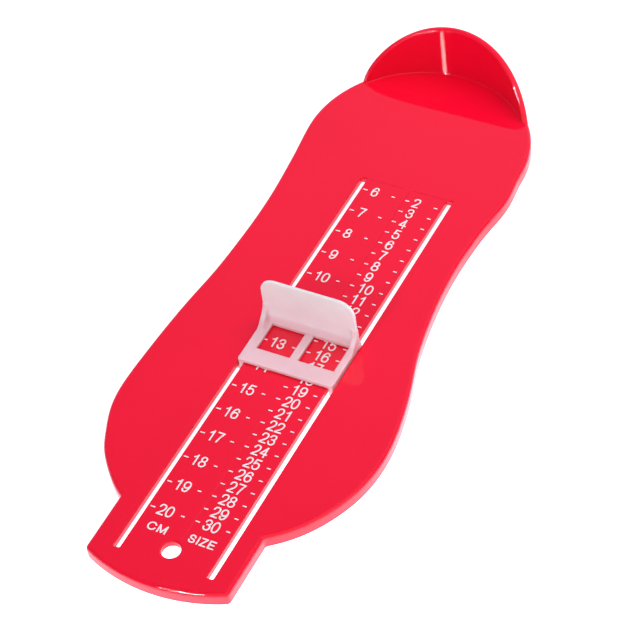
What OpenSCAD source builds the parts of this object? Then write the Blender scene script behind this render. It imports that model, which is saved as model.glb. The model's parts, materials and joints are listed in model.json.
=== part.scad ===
// Foot length gauge: a sole-shaped moulded plate with a heel wall, and a
// toe-stop slider that runs along it in two parallel slots.
// Millimetres. +X is to the right as the figures are read, +Y points to the
// heel end and +Z is up. The origin is the middle of the gauge's outer box,
// on the surface that it lies on.

/* [Plate] */
// Height of the plate, from the surface it lies on to its upper face
plate_h = 4.5; // [3.5:0.1:6]
// Thickness of the plate's upper web
web_t = 1.6; // [1.2:0.1:2.2]
// Thickness of the skirt that runs round the plate's edge
skirt_t = 1.6; // [1.2:0.1:2]
// Radius of the round heel end
heel_r = 38; // [37:0.5:39]

/* [Heel wall] */
// Thickness of the heel wall
cup_t = 2; // [1.6:0.1:2.6]
// Height of the heel wall above the plate, at its middle
cup_h = 19.4; // [14:0.1:24]
// Half of the wall's width at the plate, seen from the front
cup_half_w = 30.4; // [28:0.1:32]

/* [Slots and hanging hole] */
// Width of each guide slot
slot_w = 2.1; // [2:0.1:3]
// Distance between the slots' centre lines
slot_pitch = 30.66; // [30.5:0.02:31]
// Scale reading, in millimetres, at the heel end of the slots
slot_s0 = 55; // [52:0.5:58]
// Scale reading, in millimetres, at the toe end of the slots
slot_s1 = 216.5; // [214:0.5:218]
// Diameter of the hanging hole
hole_d = 5.8; // [4:0.1:6.5]
// Scale reading, in millimetres, at the hanging hole
hole_s = 211.6; // [211:0.1:213]

/* [Slider] */
// Scale reading, in millimetres, of the toe-stop face in the stored position
stop_s = 121.8; // [60:0.1:190]
// Width of the slider
slider_w = 32.4; // [32:0.1:33]
// Length of the slider's frame along the scale
slider_l = 19.2; // [17:0.1:22]
// Thickness of the slider's frame
frame_t = 1.1; // [0.9:0.1:1.6]
// Gap between the plate's upper face and the frame
glide = 0.4; // [0.3:0.05:0.6]
// Height of the toe stop above the plate
stop_h = 18.7; // [14:0.1:22]
// Thickness of the toe stop
stop_t = 1; // [0.8:0.1:1.4]
// Corner radius of the toe stop
stop_r = 5; // [3:0.5:7]
// Thickness of the slider's legs
leg_t = 1.5; // [1.2:0.1:1.8]

/* [Raised figures] */
// Height of the figures above the plate
mark_h = 0.2; // [0.1:0.05:0.25]
// Width of the figures' strokes
stroke_w = 0.52; // [0.4:0.02:0.6]
// Height of the numerals
digit_h = 4.1; // [3.6:0.1:4.2]
// Width of the numerals
digit_w = 2.45; // [2.2:0.05:2.5]
// Distance between the two digits of a numeral
digit_pitch = 2.65; // [2.6:0.05:2.7]
// Width of the tick marks, across their length
tick_w = 0.45; // [0.35:0.05:0.6]

/* [Hidden] */
$fn = 64;

// The scale's zero line is the inside of the heel wall, so a place is given
// as [u, s]: u across from the middle of the scale, s along it from zero.
mid_x = 1.7;
zero_y = 111;
function place(u, s) = [mid_x + u, zero_y - s];
function places(list) = [for (p = list) place(p[0], p[1])];

// Points on an arc or on part of an ellipse.
function arc(cx, cy, rx, ry, a0, a1, n = 8) =
    [for (i = [0 : n]) let (a = a0 + (a1 - a0) * i / n)
        [cx + rx * cos(a), cy + ry * sin(a)]];

// A smooth curve through a list of points; the first and last only steer it.
function smooth_at(p0, p1, p2, p3, t) =
    0.5 * ((2 * p1) + (p2 - p0) * t
        + (2 * p0 - 5 * p1 + 4 * p2 - p3) * t * t
        + (3 * p1 - p0 - 3 * p2 + p3) * t * t * t);
function smooth(p, k = 3) =
    [for (i = [1 : len(p) - 3]) for (j = [0 : k - 1])
        smooth_at(p[i - 1], p[i], p[i + 1], p[i + 2], j / k)];

// A closed outline moved inwards by d; the outline runs anticlockwise.
function unit(v) = v / norm(v);
function inward(p, d) =
    let (n = len(p))
    [for (i = [0 : n - 1])
        let (a = unit(p[i] - p[(i + n - 1) % n]),
             b = unit(p[(i + 1) % n] - p[i]),
             na = [-a[1], a[0]], nb = [-b[1], b[0]],
             m = unit(na + nb))
        p[i] + m * d / max(0.5, m * na)];

// Heel end: a round of radius heel_r about this centre.
heel_c = [-6.6, heel_r - 3];

// Sides of the sole shape, from the heel round to the tongue.
left_side = [[-44, 25], [-44.6, 35], [-43.9, 44], [-42.9, 52], [-42.1, 60],
    [-41.4, 68], [-41, 76], [-40.9, 86], [-41.2, 97], [-42, 110],
    [-43.4, 122], [-44.5, 134], [-45.3, 148], [-45.65, 157], [-45.2, 166],
    [-43.6, 173], [-41.2, 179], [-37.7, 186], [-34.1, 190.6], [-30.3, 194.6],
    [-25.8, 198.4], [-21, 201.6]];
right_side = [[30.8, 25], [31.4, 35], [32.1, 44], [32, 51], [30.7, 60],
    [29.8, 70], [29.5, 79], [29.8, 89], [30.6, 98], [32, 108],
    [34.2, 119], [37.7, 131], [40.7, 144], [42.15, 155], [41.9, 164],
    [40.4, 172], [38, 178.6], [34.8, 184.8], [30.8, 190.4], [26.3, 195],
    [20, 200]];

heel_arc = arc(heel_c[0], heel_c[1], heel_r, heel_r, -172, -8, 32);
toe_edge = [[21.5, 198.8], [-22.5, 200.6]];
left_back = [for (i = [len(smooth(left_side)) - 1 : -1 : 0]) smooth(left_side)[i]];
// The sole shape without its round heel end, and the whole of it.
side_uv = concat(smooth(right_side), toe_edge, left_back);
body_uv = concat(heel_arc, side_uv);

// Tongue at the toe end, with a bowed end whose round is centred at u = -1.
tongue_l = -23.9;
tongue_w = 46.8;
tongue_rt = tongue_l + tongue_w;
tongue_r = 55;
tongue_top = 225;
bow_s = tongue_top - tongue_r;
function bow(u) = bow_s + sqrt(tongue_r * tongue_r - (u + 1) * (u + 1));
// Centre line of a corner round of radius r at u, and where it meets the bow.
function round_s(u, r) = bow_s + sqrt((tongue_r - r) * (tongue_r - r) - (u + 1) * (u + 1));
function round_a(u, r) = atan2(round_s(u, r) - bow_s, u + 1);
corner_l = 1.7;
corner_r = 1.6;
tongue_uv = concat(
    [[tongue_l, 185], [tongue_rt, 185]],
    arc(tongue_rt - corner_r, round_s(tongue_rt - corner_r, corner_r), corner_r, corner_r,
        0, round_a(tongue_rt - corner_r, corner_r), 5),
    [for (i = [0 : 14]) let (u = 19.3 - i * 2.9) [u, bow(u)]],
    arc(tongue_l + corner_l, round_s(tongue_l + corner_l, corner_l), corner_l, corner_l,
        round_a(tongue_l + corner_l, corner_l), 180, 5));

// Inside of the tongue's skirt, with square corners.
tongue_in_uv = concat(
    [[tongue_l + skirt_t, 187], [tongue_rt - skirt_t, 187]],
    [for (i = [0 : 12]) let (u = tongue_rt - skirt_t - i * (tongue_w - 2 * skirt_t) / 12)
        [u, bow(u) - skirt_t]]);

// They run clockwise in [u, s], which is anticlockwise once s turns into -Y,
// so they are turned round here to run anticlockwise in X and Y.
function turned(p) = [for (i = [len(p) - 1 : -1 : 0]) p[i]];
body_xy = turned(places(body_uv));
side_xy = turned(places(side_uv));
tongue_xy = turned(places(tongue_uv));
tongue_in_xy = turned(places(tongue_in_uv));

module slab(z0, z1) { translate([0, 0, z0]) linear_extrude(z1 - z0) children(); }

// A box given by its ends in u, s and z.
module block(u0, u1, s0, s1, z0, z1) {
    a = place(u0, s1);
    translate([a[0], a[1], z0]) cube([u1 - u0, s1 - s0, z1 - z0]);
}

// Front shape of the heel wall: part of an ellipse, cut off at the plate.
cup_b = 23.4;
cup_drop = cup_b - cup_h;
cup_a = cup_half_w / sqrt(1 - (cup_drop / cup_b) * (cup_drop / cup_b));
module cup_front() {
    c = place(heel_c[0], 0);
    polygon(concat(
        [[c[0] + cup_half_w, plate_h - 0.8], [c[0] + cup_half_w, plate_h]],
        arc(c[0], plate_h - cup_drop, cup_a, cup_b,
            asin(cup_drop / cup_b) + 1, 179 - asin(cup_drop / cup_b), 36),
        [[c[0] - cup_half_w, plate_h], [c[0] - cup_half_w, plate_h - 0.8]]));
}

module heel_wall() {
    c = place(heel_c[0], heel_c[1]);
    intersection() {
        translate([c[0], c[1], plate_h - 0.8]) difference() {
            cylinder(r = heel_r, h = cup_h + 2, $fn = 96);
            translate([0, 0, -1]) cylinder(r = heel_r - cup_t, h = cup_h + 4, $fn = 96);
        }
        translate([0, zero_y + 10, 0]) rotate([90, 0, 0])
            linear_extrude(40) cup_front();
    }
}

rib_w = 2;
rib_t = 0.6;
under = plate_h - web_t;
rib_z = under - rib_t;
sx = slot_pitch / 2;

// The solid outline of the plate: its heel end is a true half round.
module plate_block() {
    c = place(heel_c[0], heel_c[1]);
    slab(0, plate_h) polygon(side_xy);
    slab(0, plate_h) polygon(tongue_xy);
    intersection() {
        translate([c[0], c[1], 0]) cylinder(r = heel_r, h = plate_h, $fn = 96);
        block(-60, 50, -20, heel_c[1], -1, plate_h + 1);
    }
}

module base_plate() {
    h = place(0, hole_s);
    color("crimson") union() {
        difference() {
            union() {
                difference() {
                    plate_block();
                    slab(-1, under) polygon(inward(body_xy, skirt_t));
                    slab(-1, under) polygon(tongue_in_xy);
                }
                // guide ribs beside the slots
                for (k = [-1, 1])
                    block(k * sx - slot_w / 2 - rib_w, k * sx + slot_w / 2 + rib_w,
                        slot_s0 - rib_w, slot_s1 + rib_w, rib_z, under + 0.4);
                // ring round the hanging hole
                translate([h[0], h[1], rib_z]) cylinder(d = hole_d + 4, h = rib_t + 0.4);
            }
            for (k = [-1, 1])
                block(k * sx - slot_w / 2, k * sx + slot_w / 2, slot_s0, slot_s1,
                    rib_z - 1, plate_h + 1);
            translate([h[0], h[1], rib_z - 1]) cylinder(d = hole_d, h = web_t + rib_t + 2);
        }
        heel_wall();
    }
}

// Slider: a frame with two reading windows, the upright toe stop with a
// gusset at each end, and two legs that hook outwards under the plate.
fz0 = plate_h + glide;
fz1 = fz0 + frame_t;
leg_out = 16.1;
hook_out = 18;
hook_z = 0.8;
hook_t = 1.2;
win = [[-12.75, -1.2], [1.5, 13.9]];
win_s = [2.3, 13.3];
fillet_r = 2.5;

module stop_front() {
    hw = slider_w / 2;
    top = plate_h + stop_h;
    polygon(concat(
        [[mid_x - hw, fz0], [mid_x + hw, fz0]],
        arc(mid_x + hw - 0.3 - stop_r, top - stop_r, stop_r, stop_r, 0, 90, 10),
        arc(mid_x - hw + 0.3 + stop_r, top - stop_r, stop_r, stop_r, 90, 180, 10)));
}

// Side shape of a gusset, in [distance from the stop's face, height].
module gusset_side() {
    polygon(concat([[-0.5, fz0], [5.6, fz0], [5.6, fz1]],
        [[4.4, fz1 + 1.4], [3, fz1 + 2.9], [1.6, fz1 + 4.3], [0.6, fz1 + 5.6],
         [0.1, fz1 + 7], [-0.5, fz1 + 7]]));
}

module slider() {
    hw = slider_w / 2;
    face = stop_s + stop_t;
    y_face = zero_y - face;
    color("mistyrose") union() {
        difference() {
            block(-hw, hw, stop_s, stop_s + slider_l, fz0, fz1);
            for (w = win)
                block(w[0], w[1], stop_s + win_s[0], stop_s + win_s[1], fz0 - 1, fz1 + 1);
        }
        translate([0, zero_y - stop_s, 0]) rotate([90, 0, 0])
            linear_extrude(stop_t) stop_front();
        // hollow fillet at the foot of the stop, short of the windows
        difference() {
            block(-hw, hw, face - 0.2, face + 1.3, fz1 - 0.2, fz1 + 1.3);
            translate([mid_x - hw - 1, zero_y - face - 1.3, fz1 + 1.3])
                rotate([0, 90, 0]) cylinder(r = 1.3, h = slider_w + 2);
        }
        for (k = [-1, 1])
            translate([k > 0 ? mid_x + hw - 1.5 : mid_x - hw, y_face, 0])
                rotate([90, 0, 90]) mirror([1, 0, 0]) linear_extrude(1.5) gusset_side();
        for (k = [-1, 1]) {
            block(k > 0 ? leg_out - leg_t : -leg_out, k > 0 ? leg_out : leg_t - leg_out,
                stop_s + 0.2, stop_s + slider_l - 0.2, hook_z, fz0 + 0.5);
            block(k > 0 ? leg_out - leg_t : -hook_out, k > 0 ? hook_out : leg_t - leg_out,
                stop_s + 0.2, stop_s + slider_l - 0.2, hook_z, hook_z + hook_t);
        }
    }
}

// Figures. A stroke is a line of points given width; its ends are square.
function side_of(p, i) =
    let (n = len(p),
         a = i > 0 ? unit(p[i] - p[i - 1]) : unit(p[1] - p[0]),
         b = i < n - 1 ? unit(p[i + 1] - p[i]) : unit(p[n - 1] - p[n - 2]),
         na = [-a[1], a[0]], nb = [-b[1], b[0]], m = unit(na + nb))
    m / max(0.6, m * na);
o = stroke_w / 2;
module stroke(p) {
    n = len(p);
    polygon(concat(
        [for (i = [0 : n - 1]) p[i] + side_of(p, i) * o],
        [for (i = [n - 1 : -1 : 0]) p[i] - side_of(p, i) * o]));
}
// One outline with holes in it.
module shape(outer, holes) {
    n = [len(outer), for (h = holes) len(h)];
    start = [for (i = [0 : len(n) - 1]) i == 0 ? 0 : i == 1 ? n[0] : n[0] + n[1]];
    polygon(concat(outer, [for (h = holes) for (p = h) p]),
        [for (i = [0 : len(n) - 1]) [for (j = [0 : n[i] - 1]) start[i] + j]]);
}
function oval(cx, cy, rx, ry, n = 18) = arc(cx, cy, rx, ry, 0, 360 - 360 / n, n - 1);

// Centre-line half width and half height of a numeral, and its outer ones.
a = (digit_w - stroke_w) / 2;
b = (digit_h - stroke_w) / 2;
ao = a + o;
bo = b + o;

// Six: the long stroke's outer side, the bowl, and back up its inner side.
six_outer = concat(
    arc(a * 0.08, b * -0.1, a * 1.08 + o, b * 1.1 + o, 40, 176, 8),
    arc(0, b * -0.36, ao, b * 0.64 + o, 186, 466, 15),
    arc(a * 0.08, b * -0.1, a * 1.08 - o, b * 1.1 - o, 140, 40, 6));
six_hole = oval(0, b * -0.36, a - o, b * 0.64 - o, 14);

module digit(d) {
    if (d == 0) shape(oval(0, 0, ao, bo, 24), [oval(0, 0, a - o, b - o)]);
    if (d == 1) polygon([[0.05, -bo], [0.05 + 2 * o, -bo], [0.05 + 2 * o, bo],
        [0.25, bo], [-0.05, b * 0.85], [-0.6, b * 0.75], [-0.6, b * 0.5], [0.05, b * 0.62]]);
    if (d == 2) stroke(concat(arc(0, b * 0.46, a * 0.96, b * 0.54, 172, -28, 9),
        [[a * -0.1, b * -0.25], [a * -0.9, -b], [ao, -b]]));
    if (d == 3) polygon(concat(
        arc(a * -0.05, b * 0.52, a * 0.85 + o, b * 0.48 + o, 160, -50, 9),
        arc(a * -0.05, b * -0.48, a + o, b * 0.52 + o, 50, -160, 9),
        arc(a * -0.05, b * -0.48, a - o, b * 0.52 - o, -160, 90, 9),
        [[a * -0.4, b * 0.04 - o], [a * -0.4, b * 0.04 + o]],
        arc(a * -0.05, b * 0.52, a * 0.85 - o, b * 0.48 - o, -90, 160, 9)));
    if (d == 4) shape([[0.15, -bo], [0.15 + 2 * o, -bo], [0.15 + 2 * o, b * -0.55],
        [ao, b * -0.55], [ao, b * -0.28], [0.15 + 2 * o, b * -0.28],
        [0.15 + 2 * o, bo], [0.2, bo], [-ao, b * -0.25], [-ao, b * -0.55],
        [0.15, b * -0.55]], [[[0.15, b * -0.28], [0.15, b * 0.64], [-0.7, b * -0.28]]]);
    if (d == 5) polygon(concat(
        [[0.95, bo], [-0.85, bo], [-ao + 0.1, -0.05], [-0.62, -0.12]],
        arc(-0.05, b * -0.36, a - o, b * 0.64 - o, 125, -155, 9),
        arc(-0.05, b * -0.36, ao, b * 0.64 + o, -155, 118, 11),
        [[-0.43, b - o], [0.95, b - o]]));
    if (d == 6) shape(six_outer, [six_hole]);
    if (d == 7) stroke([[-ao, b], [a, b], [a * 0.35, b * 0.3],
        [a * -0.1, b * -0.4], [a * -0.3, -bo]]);
    if (d == 8) shape(concat(
        arc(0, b * 0.52, a * 0.86 + o, b * 0.48 + o, -45, 225, 13),
        arc(0, b * -0.47, ao, b * 0.53 + o, 135, 405, 13)),
        [oval(0, b * 0.52, a * 0.86 - o, b * 0.48 - o, 14),
         oval(0, b * -0.47, a - o, b * 0.53 - o, 14)]);
    if (d == 9) rotate(180) shape(six_outer, [six_hole]);
}

// A numeral whose last digit is centred at u_last when it has two digits.
module numeral(n, u_one, u_last, s) {
    p = place(n > 9 ? u_last : u_one, s);
    translate([p[0], p[1], plate_h]) linear_extrude(mark_h) digit(n % 10);
    if (n > 9)
        translate([p[0] - digit_pitch, p[1], plate_h])
            linear_extrude(mark_h) digit(floor(n / 10));
}

module tick(u, s, l) {
    block(u - l / 2, u + l / 2, s - tick_w / 2, s + tick_w / 2, plate_h, plate_h + mark_h);
}

module cm_ticks() {
    color("lavenderblush") for (n = [6 : 20]) {
        tick(-12.5, n * 10, 1.6);
        tick(-2.5, n * 10, 1.2);
    }
}
module cm_numerals() {
    color("lavenderblush") for (n = [6 : 20]) numeral(n, -9, -6.8, n * 10);
}
// Half-centimetre sizes: size n sits at n + 10 half centimetres.
module size_ticks() {
    color("lavenderblush") for (n = [2 : 30]) {
        tick(2.5, (n + 10) * 5, 1.4);
        tick(12.5, (n + 10) * 5, 1.3);
    }
}
module size_numerals() {
    color("lavenderblush") for (n = [2 : 30]) numeral(n, 5.8, 8.4, (n + 10) * 5);
}

// Unit names under the two scales, 3 mm high.
lh = (3 - stroke_w) / 2;
module letter(u, s) {
    p = place(u, s);
    translate([p[0], p[1], plate_h]) linear_extrude(mark_h) children();
}
module unit_labels() {
    color("lavenderblush") {
        letter(-9.2, 206.3) stroke(arc(0, 0, 1.15, lh, 48, 312, 12));
        letter(-5.7, 206.3) {
            stroke([[-1.15, -lh - o], [-1.15, lh + o]]);
            stroke([[1.15, -lh - o], [1.15, lh + o]]);
            stroke([[-1.1, lh], [0, -lh * 0.8], [1.1, lh]]);
        }
        letter(4, 206) {
            stroke(arc(0, lh / 2, 0.8, lh / 2, 30, 270, 9));
            stroke(arc(0, -lh / 2, 0.8, lh / 2, 90, -150, 9));
        }
        letter(5.95, 206) stroke([[0, -lh - o], [0, lh + o]]);
        letter(7.75, 206) stroke([[-0.95, lh], [0.7, lh], [-0.7, -lh], [0.95, -lh]]);
        letter(10.35, 206) {
            stroke([[0.9, lh], [-0.7, lh], [-0.7, -lh], [0.9, -lh]]);
            stroke([[-0.7, 0], [0.75, 0]]);
        }
    }
}

base_plate();
slider();
cm_ticks();
cm_numerals();
size_ticks();
size_numerals();
unit_labels();
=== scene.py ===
import json
import math

import bmesh
import bpy
import numpy as np
from mathutils import Matrix, Vector
from mathutils.geometry import delaunay_2d_cdt

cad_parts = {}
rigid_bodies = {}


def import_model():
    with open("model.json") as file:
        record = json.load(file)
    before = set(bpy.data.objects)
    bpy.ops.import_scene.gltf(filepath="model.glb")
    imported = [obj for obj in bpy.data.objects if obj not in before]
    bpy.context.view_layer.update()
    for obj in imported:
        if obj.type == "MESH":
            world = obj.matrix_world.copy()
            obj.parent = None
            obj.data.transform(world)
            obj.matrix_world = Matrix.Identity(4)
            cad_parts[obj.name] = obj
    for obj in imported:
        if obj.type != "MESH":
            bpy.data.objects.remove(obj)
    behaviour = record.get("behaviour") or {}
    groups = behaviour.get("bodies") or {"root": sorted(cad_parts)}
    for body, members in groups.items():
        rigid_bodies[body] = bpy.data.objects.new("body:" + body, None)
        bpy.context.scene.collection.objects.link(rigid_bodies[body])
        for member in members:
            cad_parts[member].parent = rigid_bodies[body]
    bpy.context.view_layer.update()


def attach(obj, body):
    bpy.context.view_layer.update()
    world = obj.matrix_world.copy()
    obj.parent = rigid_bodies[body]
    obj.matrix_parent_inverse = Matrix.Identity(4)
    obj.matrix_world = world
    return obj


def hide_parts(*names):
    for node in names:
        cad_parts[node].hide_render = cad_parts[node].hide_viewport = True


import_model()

# ---------------------------------------------------------------- frame
# Lengths below are in millimetres. u runs across the scale from its middle,
# s along it from the heel wall's inside; the frame of the parts is x = u + 1.7,
# y = 111 - s, z up from the surface that the gauge lies on.
MID, ZERO, TOP = 1.7, 111.0, 4.5


def xy(uv):
    uv = np.asarray(uv, float).reshape(-1, 2)
    return np.c_[uv[:, 0] + MID, ZERO - uv[:, 1]]


def unit(v):
    v = np.asarray(v, float)
    return v / np.linalg.norm(v)


# ---------------------------------------------------------------- mesh making
class Build:
    """Collects points and faces in millimetres, then makes one clean mesh."""

    def __init__(self):
        self.co, self.faces, self.mats, self.n = [], [], [], 0

    def add(self, pts, faces, mat=0):
        pts = np.asarray(pts, float).reshape(-1, 3)
        self.co.append(pts)
        for f in faces:
            self.faces.append([int(i) + self.n for i in f])
            self.mats.append(mat)
        self.n += len(pts)

    def strips(self, rings, mat=0, flip=False):
        """Quads between successive closed rings of the same length."""
        m = len(rings[0])
        faces = []
        for r in range(len(rings) - 1):
            a, b = r * m, (r + 1) * m
            for i in range(m):
                j = (i + 1) % m
                f = (a + i, a + j, b + j, b + i)
                faces.append(f[::-1] if flip else f)
        self.add(np.concatenate(rings), faces, mat)

    def fill(self, loops, z, mat=0, up=True, zs=None):
        """Triangles between closed loops; a loop inside another is a hole."""
        pts, edges, k = [], [], 0
        for lp in loops:
            m = len(lp)
            pts.extend(map(tuple, lp))
            edges.extend([(k + i, k + (i + 1) % m) for i in range(m)])
            k += m
        P = np.array(pts)
        out = delaunay_2d_cdt([Vector(p) for p in pts], edges, [], 0, 1e-5)
        src = out[3]
        Q = np.array([P[o[0]] if o else tuple(v) for v, o in zip(out[0], src)])
        tri = np.array([f for f in out[2] if len(f) == 3], int)
        c = Q[tri].mean(1)
        inside = np.zeros(len(c), bool)
        for lp in loops:
            a = np.asarray(lp)
            b = np.roll(a, -1, 0)
            for (x0, y0), (x1, y1) in zip(a, b):
                if y0 == y1:
                    continue
                hit = ((y0 > c[:, 1]) != (y1 > c[:, 1])) & (
                    c[:, 0] < (x1 - x0) * (c[:, 1] - y0) / (y1 - y0) + x0)
                inside ^= hit
        tri = tri[inside]
        t = Q[tri]
        area = np.cross(t[:, 1] - t[:, 0], t[:, 2] - t[:, 0])
        swap = (area < 0) if up else (area > 0)
        tri[swap] = tri[swap][:, ::-1]
        Z = np.full(len(Q), z, float) if zs is None else np.array(
            [zs[o[0]] if o else z for o in src], float)
        self.add(np.c_[Q, Z], tri.tolist(), mat)

    def object(self, name, materials, body, node, merge=1e-4):
        me = bpy.data.meshes.new(name)
        bm = bmesh.new()
        vs = [bm.verts.new(Vector(p) * 0.001) for p in np.concatenate(self.co)]
        for f, m in zip(self.faces, self.mats):
            if len(set(f)) < 3:
                continue
            try:
                face = bm.faces.new([vs[i] for i in f])
            except ValueError:
                continue
            face.material_index = m
            face.smooth = True
        if merge:
            bmesh.ops.remove_doubles(bm, verts=bm.verts, dist=merge * 0.001)
            bmesh.ops.dissolve_degenerate(bm, edges=bm.edges, dist=merge * 0.001)
        loose = [v for v in bm.verts if not v.link_faces]
        bmesh.ops.delete(bm, geom=loose, context="VERTS")
        bmesh.ops.recalc_face_normals(bm, faces=bm.faces)
        holes = sum(1 for e in bm.edges if len(e.link_faces) != 2)
        print(f"{name}: {len(bm.verts)} points, {len(bm.faces)} faces, {holes} open edges")
        bm.to_mesh(me)
        bm.free()
        for m in materials:
            me.materials.append(m)
        ob = bpy.data.objects.new(name, me)
        bpy.context.scene.collection.objects.link(ob)
        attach(ob, body)
        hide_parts(node)
        return ob


# ---------------------------------------------------------------- materials
def material(name):
    m = bpy.data.materials.new(name)
    m.use_nodes = True
    nt = m.node_tree
    bsdf = nt.nodes["Principled BSDF"]
    coord = nt.nodes.new("ShaderNodeTexCoord")
    return m, nt, bsdf, coord


def noise(nt, coord, scale, detail=3.0, rough=0.5):
    n = nt.nodes.new("ShaderNodeTexNoise")
    n.inputs["Scale"].default_value = scale
    n.inputs["Detail"].default_value = detail
    n.inputs["Roughness"].default_value = rough
    nt.links.new(coord.outputs["Object"], n.inputs["Vector"])
    return n


def ramp(nt, fac, stops):
    r = nt.nodes.new("ShaderNodeValToRGB")
    while len(r.color_ramp.elements) > len(stops):
        r.color_ramp.elements.remove(r.color_ramp.elements[-1])
    while len(r.color_ramp.elements) < len(stops):
        r.color_ramp.elements.new(0.5)
    for e, (p, c) in zip(r.color_ramp.elements, stops):
        e.position = p
        e.color = (*c, 1) if len(c) == 3 else (c[0], c[0], c[0], 1)
    nt.links.new(fac, r.inputs["Fac"])
    return r


def bump(nt, bsdf, height, strength, distance):
    b = nt.nodes.new("ShaderNodeBump")
    b.inputs["Strength"].default_value = strength
    b.inputs["Distance"].default_value = distance
    nt.links.new(height, b.inputs["Height"])
    nt.links.new(b.outputs["Normal"], bsdf.inputs["Normal"])


def red_plastic():
    m, nt, bsdf, coord = material("red_plastic")
    # faint flow variation of the pigment, and a very fine moulded surface
    flow = noise(nt, coord, 22.0, 2.0, 0.45)
    col = ramp(nt, flow.outputs["Fac"], [
        (0.30, (0.872, 0.0026, 0.0275)), (0.70, (0.900, 0.0031, 0.0300))])
    nt.links.new(col.outputs["Color"], bsdf.inputs["Base Color"])
    fine = noise(nt, coord, 900.0, 3.0, 0.6)
    rg = ramp(nt, fine.outputs["Fac"], [(0.3, (0.032,)), (0.75, (0.048,))])
    nt.links.new(rg.outputs["Color"], bsdf.inputs["Roughness"])
    peel = noise(nt, coord, 420.0, 2.0, 0.5)
    bump(nt, bsdf, peel.outputs["Fac"], 0.05, 0.00003)
    bsdf.inputs["IOR"].default_value = 1.5
    return m


def natural_plastic():
    m, nt, bsdf, coord = material("natural_plastic")
    cloud = noise(nt, coord, 160.0, 3.0, 0.5)
    col = ramp(nt, cloud.outputs["Fac"], [
        (0.3, (0.97, 0.965, 0.965)), (0.7, (1.0, 1.0, 1.0))])
    # painted light in place of the red plate showing through: the foot is painted pink and its lowest
    # edge brighter, and painted shade leaves the upper stop darker and greyer
    split = nt.nodes.new("ShaderNodeSeparateXYZ")
    nt.links.new(coord.outputs["Object"], split.inputs[0])
    level = nt.nodes.new("ShaderNodeMapRange")
    level.inputs["From Min"].default_value = 0.005
    level.inputs["From Max"].default_value = 0.022
    nt.links.new(split.outputs["Z"], level.inputs["Value"])
    painted_plate_light = ramp(nt, level.outputs["Result"], [
        (0.0, (1.0, 0.65, 0.69)), (0.03, (0.96, 0.585, 0.625)), (0.10, (0.98, 0.67, 0.71)),
        (0.20, (0.99, 0.90, 0.93)), (0.40, (0.87, 0.81, 0.83)), (1.0, (0.77, 0.79, 0.78))])
    both = nt.nodes.new("ShaderNodeMix")
    both.data_type = "RGBA"
    both.blend_type = "MULTIPLY"
    both.inputs["Factor"].default_value = 1.0
    nt.links.new(col.outputs["Color"], both.inputs[6])
    nt.links.new(painted_plate_light.outputs["Color"], both.inputs[7])
    # and painted red light, in place of the plate showing through, on the gussets at its ends
    off = nt.nodes.new("ShaderNodeMath")
    off.operation = "SUBTRACT"
    off.inputs[1].default_value = MID * 0.001
    nt.links.new(split.outputs["X"], off.inputs[0])
    out = nt.nodes.new("ShaderNodeMath")
    out.operation = "ABSOLUTE"
    nt.links.new(off.outputs[0], out.inputs[0])
    end = nt.nodes.new("ShaderNodeMapRange")
    end.inputs["From Min"].default_value = 0.0138
    end.inputs["From Max"].default_value = 0.0149
    nt.links.new(out.outputs[0], end.inputs["Value"])
    band = ramp(nt, level.outputs["Result"], [
        (0.07, (0.0,)), (0.12, (1.0,)), (0.36, (1.0,)), (0.46, (0.0,))])
    how = nt.nodes.new("ShaderNodeMath")
    how.operation = "MULTIPLY"
    nt.links.new(end.outputs["Result"], how.inputs[0])
    nt.links.new(band.outputs["Color"], how.inputs[1])
    painted_gusset_light = nt.nodes.new("ShaderNodeMix")
    painted_gusset_light.data_type = "RGBA"
    painted_gusset_light.blend_type = "MULTIPLY"
    painted_gusset_light.inputs[7].default_value = (1.0, 0.84, 0.85, 1.0)
    nt.links.new(how.outputs[0], painted_gusset_light.inputs["Factor"])
    nt.links.new(both.outputs[2], painted_gusset_light.inputs[6])
    nt.links.new(painted_gusset_light.outputs[2], bsdf.inputs["Base Color"])
    fine = noise(nt, coord, 1400.0, 2.0, 0.5)
    rg = ramp(nt, fine.outputs["Fac"], [(0.3, (0.29,)), (0.7, (0.36,))])
    nt.links.new(rg.outputs["Color"], bsdf.inputs["Roughness"])
    bump(nt, bsdf, fine.outputs["Fac"], 0.06, 0.00003)
    bsdf.subsurface_method = "RANDOM_WALK"
    bsdf.inputs["Subsurface Weight"].default_value = 1.0
    bsdf.inputs["Transmission Weight"].default_value = 0.15
    bsdf.inputs["Subsurface Radius"].default_value = (1.0, 0.9, 0.9)
    bsdf.inputs["Subsurface Scale"].default_value = 0.0014
    bsdf.inputs["IOR"].default_value = 1.49
    return m


def white_foil():
    m, nt, bsdf, coord = material("white_foil")
    worn = noise(nt, coord, 2200.0, 4.0, 0.65)
    col = ramp(nt, worn.outputs["Fac"], [
        (0.28, (0.86, 0.60, 0.64)), (0.42, (0.93, 0.80, 0.83)), (0.8, (0.95, 0.86, 0.88))])
    nt.links.new(col.outputs["Color"], bsdf.inputs["Base Color"])
    fine = noise(nt, coord, 3000.0, 2.0, 0.5)
    rg = ramp(nt, fine.outputs["Fac"], [(0.3, (0.30,)), (0.7, (0.42,))])
    nt.links.new(rg.outputs["Color"], bsdf.inputs["Roughness"])
    bump(nt, bsdf, worn.outputs["Fac"], 0.08, 0.00002)
    return m


RED, NATURAL, FOIL = red_plastic(), natural_plastic(), white_foil()

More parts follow.
